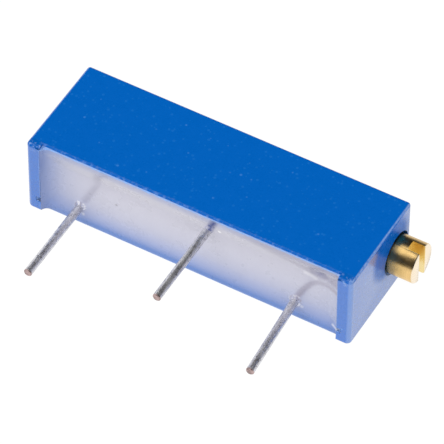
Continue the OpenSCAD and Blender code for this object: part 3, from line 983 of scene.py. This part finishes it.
def screw_piece():
    """The lead screw: a turned body, a cut slot and a helical thread."""
    s = bpy.context.scene.trimmer.screw
    seal_low, seal_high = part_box("shaft_seal")
    clip_low, clip_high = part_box("screw_retainer")
    seal_x, clip_x = (seal_low.x + seal_high.x) / 2, (clip_low.x + clip_high.x) / 2
    tip, far = SCREW_HIGH.x, SCREW_LOW.x
    # radii of the head, the shank, the thread's root and the journal
    head, shank = s.head_diameter / 2, s.thread_diameter / 2
    root, journal = shank - s.thread_depth, 0.45 * MM
    far_chamfer, head_chamfer = 0.04 * MM, 0.03 * MM
    journal_x = far + 0.59 * MM
    thread_end, head_x = clip_x - 0.62 * MM, clip_x + 0.35 * MM

    def groove(x, half_width, outside, floor):
        """The outline of a square groove round the screw."""
        low, high = x - half_width, x + half_width
        return (low, outside), (low, floor), (high, floor), (high, outside)

    outline = [
        (far, 0),
        (far, journal - far_chamfer),
        (far + far_chamfer, journal),
        (journal_x, journal),
        (journal_x, root),
        (thread_end, root),
        (thread_end + 0.1 * MM, shank),
        *groove(clip_x, 0.18 * MM, shank, 0.5 * MM),
        (head_x, shank),
        (head_x, head - head_chamfer),
        (head_x + head_chamfer, head),
        *groove(seal_x, 0.31 * MM, head, 0.73 * MM),
        (tip - s.chamfer, head),
        (tip - 0.35 * s.chamfer, head - 0.28 * s.chamfer),
        (tip, head - s.chamfer),
        (tip, 0),
    ]
    turned = {"cent": (0, AXIS_Y, AXIS_Z), "axis": (1, 0, 0)}
    bm = bmesh.new()
    verts = [bm.verts.new((x, AXIS_Y, AXIS_Z + r)) for x, r in outline]
    edges = [bm.edges.new(pair) for pair in zip(verts, verts[1:])]
    bmesh.ops.spin(
        bm,
        geom=verts + edges,
        angle=2 * math.pi,
        steps=s.turned_steps,
        use_merge=True,
        **turned,
    )
    bmesh.ops.remove_doubles(bm, verts=bm.verts, dist=0.0005 * MM)
    bmesh.ops.recalc_face_normals(bm, faces=bm.faces)
    half_slot, slot_floor = s.slot_width / 2, tip - s.slot_depth
    slot = box_bmesh(
        (slot_floor, AXIS_Y - half_slot, AXIS_Z - 2 * head),
        (tip + s.slot_depth, AXIS_Y + half_slot, AXIS_Z + 2 * head),
    )
    bm = cut_away(bm, slot)
    break_edges(
        bm,
        0.022 * MM,
        lambda p: p.x > slot_floor + 0.05 * MM
        and abs(abs(p.y - AXIS_Y) - half_slot) < SAME_PLACE,
    )
    # the thread: one flank outline carried round the axis and along it
    start, sunk = journal_x + 0.12 * MM, root - 0.03 * MM
    flank = [
        (start, sunk),
        (start + 0.08 * MM, shank),
        (start + 0.2 * MM, shank),
        (start + 0.28 * MM, sunk),
    ]
    ridge = [bm.verts.new((x, AXIS_Y, AXIS_Z + r)) for x, r in flank]
    ring = [bm.edges.new((ridge[i], ridge[(i + 1) % 4])) for i in range(4)]
    per_turn = 30
    steps = int((thread_end - journal_x - 0.55 * MM) / s.pitch * per_turn)
    bm.faces.new(ridge)
    swept = bmesh.ops.spin(
        bm,
        geom=ridge + ring,
        dvec=(s.pitch / per_turn, 0, 0),
        angle=2 * math.pi * steps / per_turn,
        steps=steps,
        **turned,
    )
    bmesh.ops.contextual_create(bm, geom=only(bmesh.types.BMVert, swept["geom_last"]))
    bmesh.ops.recalc_face_normals(bm, faces=bm.faces)
    finish, node = brass_finish(s), "adjustment_screw"
    make_piece("brass_screw", bm, "screw", finish, node, 28)


def lead_piece(number, s, material):
    """One lead: a soldered foot, its bend, the exposed wire and its cut end."""
    routes, foot_y, exit_y = lead_routes()
    exit_at, lean, foot = routes[number - 1]
    radius, core = s.diameter / 2, s.diameter / 2 - SOLDER_DIP
    out = Vector((math.sin(lean), -math.cos(lean), 0))
    elbow = Vector((exit_at.x, foot_y, exit_at.z))
    bm = bmesh.new()
    begin = Matrix.Translation(elbow + foot * (s.bend + s.foot))
    turn = foot.to_track_quat("Z", "Y").to_matrix().to_4x4()
    made = bmesh.ops.create_circle(
        bm, cap_ends=False, segments=40, radius=core, matrix=begin @ turn
    )
    ring = list(dict.fromkeys(e for v in made["verts"] for e in v.link_edges))

    def along(ring, shift, factor=1.0, steps=1):
        """Carries an open ring along a straight line, and narrows or widens it."""
        for _ in range(steps):
            grown = bmesh.ops.extrude_edge_only(bm, edges=ring)["geom"]
            verts = only(bmesh.types.BMVert, grown)
            ring = only(bmesh.types.BMEdge, grown)
            ring = [e for e in ring if all(v in verts for v in e.verts)]
            bmesh.ops.translate(bm, verts=verts, vec=shift / steps)
            if factor != 1:
                middle = sum((v.co for v in verts), Vector()) / len(verts)
                for v in verts:
                    v.co = middle + (v.co - middle) * factor ** (1 / steps)
        return ring

    ring = along(ring, -foot * s.foot, steps=12)
    spun = bmesh.ops.spin(
        bm,
        geom=ring + ends_of(ring),
        cent=elbow + foot * s.bend + Vector((0, -s.bend, 0)),
        axis=foot.cross(Vector((0, 1, 0))),
        angle=math.pi / 2,
        steps=16,
    )
    ring = only(bmesh.types.BMEdge, spun["geom_last"])
    straight = elbow.y - s.bend - exit_y
    ring = along(ring, Vector((0, -straight, 0)), radius / core, steps=10)
    bmesh.ops.rotate(
        bm,
        verts=ends_of(ring),
        cent=exit_at,
        matrix=Matrix.Rotation(lean, 3, "Z"),
    )
    # the exposed wire, its worn rim and its slightly dished cut end
    low = LEAD_BOXES[number - 1][0]
    reach = (exit_y - low.y) / math.cos(lean) - radius * math.tan(lean)
    chamfer = 0.04 * MM
    ring = along(ring, out * (reach - chamfer), steps=130)
    ring = along(ring, out * chamfer * 0.4, 0.95)
    ring = along(ring, out * chamfer * 0.6, (radius - chamfer) / radius / 0.95)
    ring = along(ring, out * 0.0, 0.6)
    along(ring, out * -0.012 * MM, 0.5)
    close_up(bm)
    bmesh.ops.recalc_face_normals(bm, faces=bm.faces)
    bare = bm.verts.layers.float.new("bare_copper")
    bm.normal_update()
    tip = exit_at + out * reach
    shifts = {}
    for v in bm.verts:
        past_exit, from_tip = exit_y - v.co.y, (tip - v.co).dot(out)
        lump = ragged(v.co, 0.16 * MM, 10 + number)
        lump += 0.5 * ragged(v.co, 0.07 * MM, 20 + number)
        # the dents start where the wire leaves the epoxy and grow shallow further out
        depth = smoothstep(0, 0.3 * MM, past_exit)
        depth *= 0.35 + 0.65 * (1 - smoothstep(0.8 * MM, 3.4 * MM, past_exit))
        shifts[v] = v.normal * min(lump, 0.0) * s.unevenness * depth
        end = 0.03 * MM * (1 + ragged(v.co, 0.12 * MM, 30 + number))
        v[bare] = 1 - smoothstep(end, end + 0.07 * MM, from_tip)
    for v, shift in shifts.items():
        v.co += shift
    name = f"tinned_lead_{number}"
    make_piece(name, bm, "case", material, f"lead_{number}", 50)


# -------------------------------------------------------------------- stage


def surroundings_rays(nodes):
    """Masks of the rays that see or refract the surroundings and that reflect them."""
    path = nodes.add("LightPath").outputs
    seen = nodes.largest(path["Is Camera Ray"], path["Is Transmission Ray"])
    return seen, path["Is Glossy Ray"]


def emptied(owner):
    """The nodes of a material or world, with none left in it."""
    owner.use_nodes = True
    owner.node_tree.nodes.clear()
    return Nodes(owner.node_tree)


def make_floor():
    """A plain pale floor that looks white and keeps a faint shadow."""
    bm = bmesh.new()
    just_below = Matrix.Translation((0, 0, -0.005 * MM))
    bmesh.ops.create_grid(bm, x_segments=1, y_segments=1, size=1.0, matrix=just_below)
    floor = new_object("floor", bm)
    material = bpy.data.materials.new("pale_floor")
    nodes = emptied(material)
    white, brightness = (1, 1, 1, 1), 1.08
    diffuse = nodes.add("BsdfDiffuse", {"Color": (0.8, 0.8, 0.8, 1)})
    glow = nodes.add("Emission", {"Color": white, "Strength": brightness})
    share = nodes.times(nodes.largest(*surroundings_rays(nodes)), 0.9)
    mixed = {0: share, 1: diffuse.outputs[0], 2: glow.outputs[0]}
    surface = nodes.add("MixShader", mixed).outputs[0]
    nodes.add("OutputMaterial", {"Surface": surface})
    floor.data.materials.append(material)


def make_world(s):
    """Even soft light, a white backdrop, and a dimmer ceiling in reflections."""
    world = bpy.data.worlds.new("studio")
    bpy.context.scene.world = world
    nodes = emptied(world)
    times, largest, remap = nodes.times, nodes.largest, nodes.remap
    seen, glossy = surroundings_rays(nodes)
    x, y, z = nodes.split(nodes.add("TexCoord").outputs["Generated"])
    # what the part reflects: a dark ceiling, a faint window and a bright wall
    ceiling = remap(z, -0.02, 0.1, 1.0, 0.01)
    window = times(remap(x, 0.2, 0.65), remap(z, 0.75, 0.35, 0.0, 0.03))
    wall = times(remap(x, -0.45, -0.75), remap(z, 0.8, 0.45, 0.0, 1.15))
    reflected = largest(ceiling, largest(window, wall))
    # what lights it: the room, less its back, and more from two sides
    behind = times(remap(y, -0.05, 0.4), remap(z, 0.0, 0.35, 0.0, 0.95))
    room = times(nodes.maths("SUBTRACT", 1.0, behind), s.room_light)
    front = largest(times(y, -s.front_light), 0.0)
    side = largest(times(x, s.side_light), 0.0)
    light = nodes.maths("ADD", nodes.maths("ADD", front, room), side)
    level = nodes.add("Mix", {0: glossy, 2: light, 3: reflected}).outputs[0]
    level = nodes.add("Mix", {0: seen, 2: level, 3: 1.0}).outputs[0]
    sky = nodes.add("Background", {"Color": (1, 1, 1, 1), "Strength": level})
    nodes.add("OutputWorld", {"Surface": sky.outputs[0]})


def make_panel_light(s):
    """One large soft panel overhead, a little in front of the part."""
    side, away = 0.34, 0.4
    direction = Vector((-0.3, -0.24, 0.92)).normalized()
    data = bpy.data.lights.new("overhead_panel", "AREA")
    data.shape, data.size = "SQUARE", side
    data.energy = s.panel_light * math.pi * side * side
    light = bpy.data.objects.new("overhead_panel", data)
    light.location = direction * away
    light.rotation_mode = "QUATERNION"
    light.rotation_quaternion = direction.to_track_quat("Z", "Y")
    bpy.context.scene.collection.objects.link(light)


def make_camera(s):
    """The camera, at the angle and distance that the settings give."""
    a, e = s.azimuth, s.elevation
    back = Vector((math.sin(a) * math.cos(e), -math.cos(a) * math.cos(e), math.sin(e)))
    right = Vector((math.cos(a), math.sin(a), 0))
    up = back.cross(right)
    turn = Matrix.Rotation(s.roll, 3, back)
    right, up = turn @ right, turn @ up
    data = bpy.data.cameras.new("camera")
    data.sensor_width, data.lens = 36, s.lens
    data.clip_start, data.clip_end = 0.005, 10
    camera = bpy.data.objects.new("camera", data)
    camera.matrix_world = (
        Matrix.Translation(back * s.distance + right * s.aim_right + up * s.aim_up)
        @ Matrix((right, up, back)).transposed().to_4x4()
    )
    bpy.context.scene.collection.objects.link(camera)
    bpy.context.scene.camera = camera


# ---------------------------------------------------------------- operators


class TRIMMER_OT_stage(Operator):
    """Builds the floor, the soft light and the camera"""

    bl_idname = "trimmer.stage"
    bl_label = "Stage"

    def execute(self, context):
        s = context.scene.trimmer.stage
        make_floor()
        make_world(s)
        make_panel_light(s)
        make_camera(s)
        return {"FINISHED"}


class TRIMMER_OT_housing(Operator):
    """Builds the moulded case with its rim and ribs"""

    bl_idname = "trimmer.housing"
    bl_label = "Housing"

    def execute(self, context):
        housing_piece()
        return {"FINISHED"}


class TRIMMER_OT_potting(Operator):
    """Builds the milky epoxy that fills the open side"""

    bl_idname = "trimmer.potting"
    bl_label = "Potting"

    def execute(self, context):
        potting_piece()
        return {"FINISHED"}


class TRIMMER_OT_screw(Operator):
    """Builds the slotted brass lead screw"""

    bl_idname = "trimmer.screw"
    bl_label = "Adjustment screw"

    def execute(self, context):
        screw_piece()
        return {"FINISHED"}


class TRIMMER_OT_leads(Operator):
    """Builds the three tinned leads"""

    bl_idname = "trimmer.leads"
    bl_label = "Leads"

    def execute(self, context):
        s = context.scene.trimmer.leads
        material = tinned_finish(s)
        for number in (1, 2, 3):
            lead_piece(number, s, material)
        return {"FINISHED"}


class TRIMMER_OT_seal(Operator):
    """Finishes the O-ring and the clip that hold the screw"""

    bl_idname = "trimmer.seal"
    bl_label = "Seal and retainer"

    def execute(self, context):
        seal, clip = ["shaft_seal"], ["screw_retainer"]
        paint(seal, "seal_rubber", (0.02, 0.05, 0.15), (0.035, 0.08, 0.22), 0.55)
        dark, light = (0.45, 0.45, 0.47), (0.6, 0.6, 0.62)
        paint(clip, "spring_steel", dark, light, 0.3, 1.0, 4000.0)
        return {"FINISHED"}


class TRIMMER_OT_carriage(Operator):
    """Finishes the sliding carriage and its spring wiper"""

    bl_idname = "trimmer.carriage"
    bl_label = "Carriage and wiper"

    def execute(self, context):
        dark, light = (0.66, 0.62, 0.5), (0.76, 0.73, 0.62)
        paint(["carriage"], "natural_nylon", dark, light, 0.42)
        dark, light = (0.7, 0.62, 0.42), (0.84, 0.77, 0.56)
        paint(["wiper"], "wiper_spring_alloy", dark, light, 0.26, 1.0, 5000.0)
        return {"FINISHED"}


class TRIMMER_OT_element(Operator):
    """Finishes the ceramic plate, its printed tracks and pads"""

    bl_idname = "trimmer.element"
    bl_label = "Element"

    def execute(self, context):
        dark, light = (0.74, 0.74, 0.71), (0.82, 0.82, 0.79)
        paint(["substrate"], "fired_alumina", dark, light, 0.62, 0.0, 3500.0)
        dark, light = (0.02, 0.02, 0.022), (0.05, 0.05, 0.055)
        paint(["resistive_track"], "cermet_ink", dark, light, 0.4, 0.0, 6000.0)
        printed = ["collector_track", "end_pad_1", "end_pad_3"]
        dark, light = (0.55, 0.54, 0.52), (0.72, 0.71, 0.69)
        paint(printed, "silver_ink", dark, light, 0.5, 0.6, 6000.0)
        return {"FINISHED"}


class TRIMMER_OT_solder(Operator):
    """Finishes the three solder joints"""

    bl_idname = "trimmer.solder"
    bl_label = "Solder joints"

    def execute(self, context):
        joints = [f"solder_joint_{number}" for number in (1, 2, 3)]
        dark, light = (0.42, 0.42, 0.44), (0.58, 0.58, 0.6)
        paint(joints, "solder_fillet", dark, light, 0.32, 1.0, 3000.0)
        return {"FINISHED"}


BUILD_ORDER = (
    TRIMMER_OT_stage,
    TRIMMER_OT_housing,
    TRIMMER_OT_potting,
    TRIMMER_OT_screw,
    TRIMMER_OT_leads,
    TRIMMER_OT_seal,
    TRIMMER_OT_carriage,
    TRIMMER_OT_element,
    TRIMMER_OT_solder,
)


# -------------------------------------------------------------------- panel


class TRIMMER_PT_sidebar(Panel):
    """Lists the trimmer's pieces and their settings"""

    bl_idname = "TRIMMER_PT_sidebar"
    bl_label = "Trimmer Potentiometer"
    bl_space_type = "VIEW_3D"
    bl_region_type = "UI"
    bl_category = "Trimmer"

    def draw(self, context):
        for operator in BUILD_ORDER:
            box = self.layout.box()
            box.operator(operator.bl_idname)
            name = operator.bl_idname.split(".")[1]
            group = getattr(context.scene.trimmer, name, None)
            for key in group.__annotations__ if group else ():
                box.prop(group, key)


CLASSES = (
    HousingSettings,
    PottingSettings,
    ScrewSettings,
    LeadSettings,
    StageSettings,
    TrimmerSettings,
    *BUILD_ORDER,
    TRIMMER_PT_sidebar,
)


def register():
    """Registers the classes and the scene's settings."""
    for item in CLASSES:
        bpy.utils.register_class(item)
    bpy.types.Scene.trimmer = PointerProperty(type=TrimmerSettings)


def unregister():
    """Takes the settings and the classes away again."""
    del bpy.types.Scene.trimmer
    for item in reversed(CLASSES):
        bpy.utils.unregister_class(item)


def main():
    """Builds the whole scene."""
    register()
    bpy.context.scene.view_settings.view_transform = "Standard"
    for item in BUILD_ORDER:
        group, name = item.bl_idname.split(".")
        getattr(getattr(bpy.ops, group), name)()


if __name__ == "__main__":
    main()
